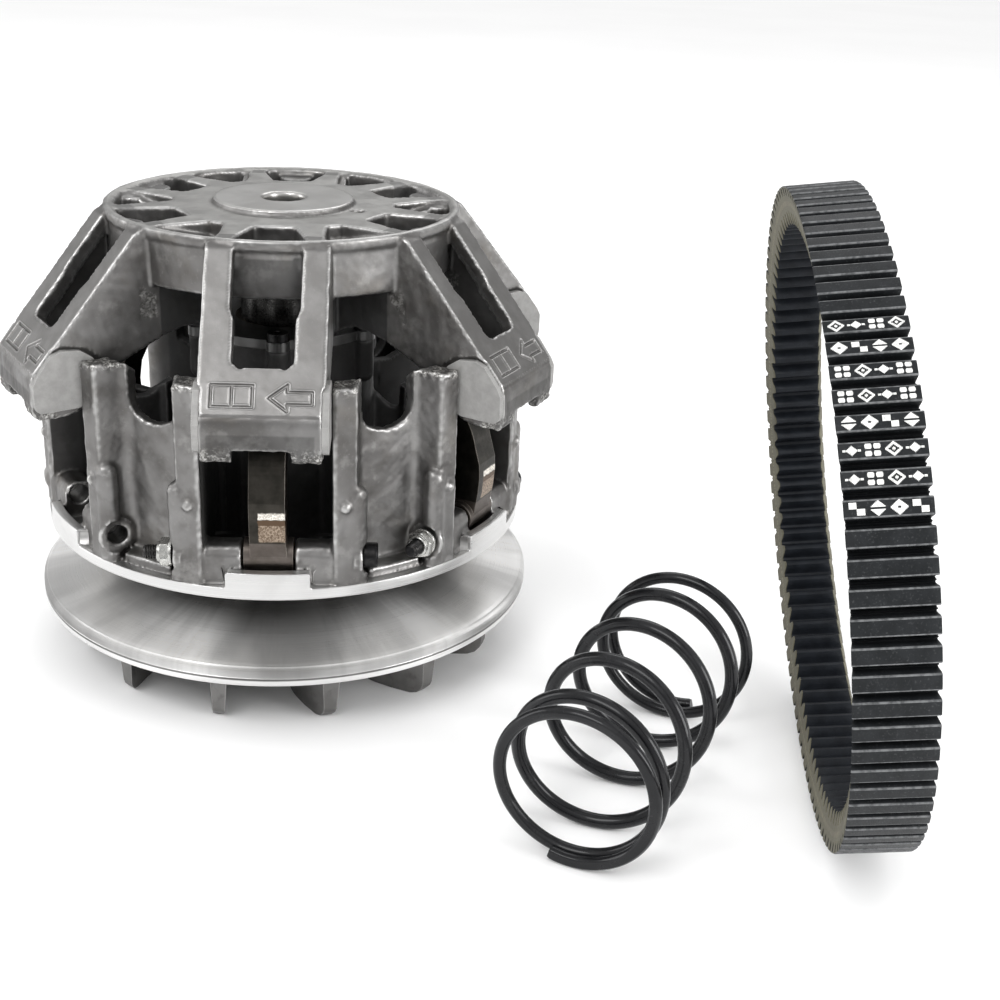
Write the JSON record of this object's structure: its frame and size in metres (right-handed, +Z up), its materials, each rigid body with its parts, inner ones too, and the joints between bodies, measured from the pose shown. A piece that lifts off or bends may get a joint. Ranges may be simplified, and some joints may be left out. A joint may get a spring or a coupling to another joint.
{
  "type": "cvt pulley set",
  "caption": "Variable-ratio drive clutch with sliding and fixed sheaves, six-arm governor cup, flyweights and fan fins, with its loose return spring and a double-cogged belt.",
  "frame": {"origin": "centre of the crank bore's mouth, on the clutch axis and level with the tips of the fan fins", "axes": "+Z up the clutch axis from the fan to the governor cup, +X towards the spring and the belt, -Y to the front"},
  "size_m": [0.3669, 0.3715, 0.233],
  "materials": {
    "cast_aluminium": "as-cast grey, machined faces bright",
    "machined_aluminium": "turned, bright",
    "ground_steel": "ground",
    "weight_steel": "heat-treated dark, cam track polished",
    "zinc_steel": "zinc plated",
    "black_steel": "black oxide, satin",
    "spring_black": "gloss black enamel",
    "bronze": "sintered bronze, satin",
    "shoe_plastic": "matt light grey",
    "roller_black": "satin",
    "belt_rubber": "matt, cut cord sides"
  },
  "bodies": {
    "fixed_half": {"fixed_sheave": "cast_aluminium", "drive_shaft": "ground_steel", "governor_cup": "cast_aluminium", "roller_pins": "ground_steel", "roller_washers": "ground_steel", "slider_shoes": "shoe_plastic", "spring_seat": "ground_steel", "seat_snap_ring": "spring_black", "idler_snap_ring": "spring_black"},
    "sliding_half": {"sliding_sheave": "cast_aluminium", "lower_bushing": "bronze", "upper_bushing": "bronze", "spring_cap": "machined_aluminium", "cap_screws": "black_steel", "pivot_bolts": "black_steel", "pivot_nuts": "zinc_steel"},
    "belt_idler": {"idler_sleeve": "ground_steel", "idler_bush": "bronze"},
    "loose_spring": {"return_spring": "spring_black"},
    "belt": {"drive_belt": "belt_rubber"},
    "weight_1": {"flyweight_1": "weight_steel", "weight_bush_1": "bronze", "tuning_rivet_1": "zinc_steel"},
    "roller_set_1": {"roller_1": "roller_black", "roller_bush_1": "bronze"},
    "weight_2": {"flyweight_2": "weight_steel", "weight_bush_2": "bronze", "tuning_rivet_2": "zinc_steel"},
    "roller_set_2": {"roller_2": "roller_black", "roller_bush_2": "bronze"},
    "weight_3": {"flyweight_3": "weight_steel", "weight_bush_3": "bronze", "tuning_rivet_3": "zinc_steel"},
    "roller_set_3": {"roller_3": "roller_black", "roller_bush_3": "bronze"},
    "weight_4": {"flyweight_4": "weight_steel", "weight_bush_4": "bronze", "tuning_rivet_4": "zinc_steel"},
    "roller_set_4": {"roller_4": "roller_black", "roller_bush_4": "bronze"}
  },
  "joints": [
    {"name": "sheave_slide", "type": "slide", "parent": "fixed_half", "child": "sliding_half", "axis": [0, 0, 1], "range_m": [0, 0.024]},
    {"name": "idler_spin", "type": "hinge", "parent": "fixed_half", "child": "belt_idler", "pos_m": [0, 0, 0.057], "axis": [0, 0, 1], "continuous": true},
    {"name": "weight_swing_1", "type": "hinge", "parent": "sliding_half", "child": "weight_1", "pos_m": [0.00674, -0.09175, 0.076], "axis": [-0.9973, -0.0732, 0], "range_deg": [0, 28]},
    {"name": "roller_spin_1", "type": "hinge", "parent": "fixed_half", "child": "roller_set_1", "pos_m": [0.00644, -0.08776, 0.137], "axis": [0.9973, 0.0732, 0], "continuous": true},
    {"name": "weight_swing_2", "type": "hinge", "parent": "sliding_half", "child": "weight_2", "pos_m": [0.08283, -0.04004, 0.076], "axis": [-0.4352, -0.9003, 0], "range_deg": [0, 28]},
    {"name": "roller_spin_2", "type": "hinge", "parent": "fixed_half", "child": "roller_set_2", "pos_m": [0.07923, -0.0383, 0.137], "axis": [0.4352, 0.9003, 0], "continuous": true},
    {"name": "weight_swing_3", "type": "hinge", "parent": "sliding_half", "child": "weight_3", "pos_m": [-0.00674, 0.09175, 0.076], "axis": [0.9973, 0.0732, 0], "range_deg": [0, 28]},
    {"name": "roller_spin_3", "type": "hinge", "parent": "fixed_half", "child": "roller_set_3", "pos_m": [-0.00644, 0.08776, 0.137], "axis": [-0.9973, -0.0732, 0], "continuous": true},
    {"name": "weight_swing_4", "type": "hinge", "parent": "sliding_half", "child": "weight_4", "pos_m": [-0.08283, 0.04004, 0.076], "axis": [0.4352, 0.9003, 0], "range_deg": [0, 28]},
    {"name": "roller_spin_4", "type": "hinge", "parent": "fixed_half", "child": "roller_set_4", "pos_m": [-0.07923, 0.0383, 0.137], "axis": [-0.4352, -0.9003, 0], "continuous": true},
    {"name": "spring_lift", "type": "slide", "parent": "fixed_half", "child": "loose_spring", "axis": [0, 0, 1], "range_m": [0, 0.12]},
    {"name": "belt_lift", "type": "slide", "parent": "fixed_half", "child": "belt", "axis": [0, 0, 1], "range_m": [0, 0.3]}
  ],
  "couplings": [
    {"joint": "weight_swing_1", "follows": "sheave_slide", "rad_per_m": 20.36},
    {"joint": "weight_swing_2", "follows": "sheave_slide", "rad_per_m": 20.36},
    {"joint": "weight_swing_3", "follows": "sheave_slide", "rad_per_m": 20.36},
    {"joint": "weight_swing_4", "follows": "sheave_slide", "rad_per_m": 20.36}
  ]
}
